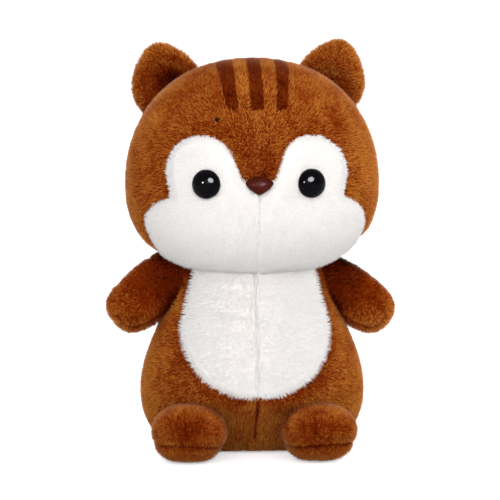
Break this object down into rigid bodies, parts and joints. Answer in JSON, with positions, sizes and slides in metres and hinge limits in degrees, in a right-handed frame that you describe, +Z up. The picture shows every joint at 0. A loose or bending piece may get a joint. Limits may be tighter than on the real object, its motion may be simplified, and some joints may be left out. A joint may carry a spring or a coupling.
{
  "type": "plush squirrel",
  "caption": "Standing stuffed squirrel with a large round head, cupped ears, stub arms, oval feet, inlaid face and belly panels and an upright tail.",
  "frame": {"origin": "middle of the flat base that the body stands on", "axes": "+Z up; the face looks along -Y; +X is the toy's own left"},
  "size_m": [0.158, 0.1448, 0.2252],
  "materials": {
    "brown_plush": "short pile, rust brown",
    "white_plush": "short pile, white",
    "dark_plush": "short pile, dark red-brown",
    "eye_plastic": "glossy black",
    "nose_plastic": "glossy dark red-brown",
    "washer_plastic": "natural white, moulded"
  },
  "bodies": {
    "root": {"head": "brown_plush", "ear_left": "brown_plush", "ear_right": "brown_plush", "body": "brown_plush", "arm_left": "brown_plush", "arm_right": "brown_plush", "foot_left": "brown_plush", "foot_right": "brown_plush", "tail": "brown_plush", "face_patch_left": "white_plush", "face_patch_right": "white_plush", "belly_patch_left": "white_plush", "belly_patch_right": "white_plush", "stripe_left": "dark_plush", "stripe_middle": "dark_plush", "stripe_right": "dark_plush", "eye_left": "eye_plastic", "eye_right": "eye_plastic", "nose": "nose_plastic", "eye_washer_left": "washer_plastic", "eye_washer_right": "washer_plastic", "nose_washer": "washer_plastic"}
  },
  "joints": []
}
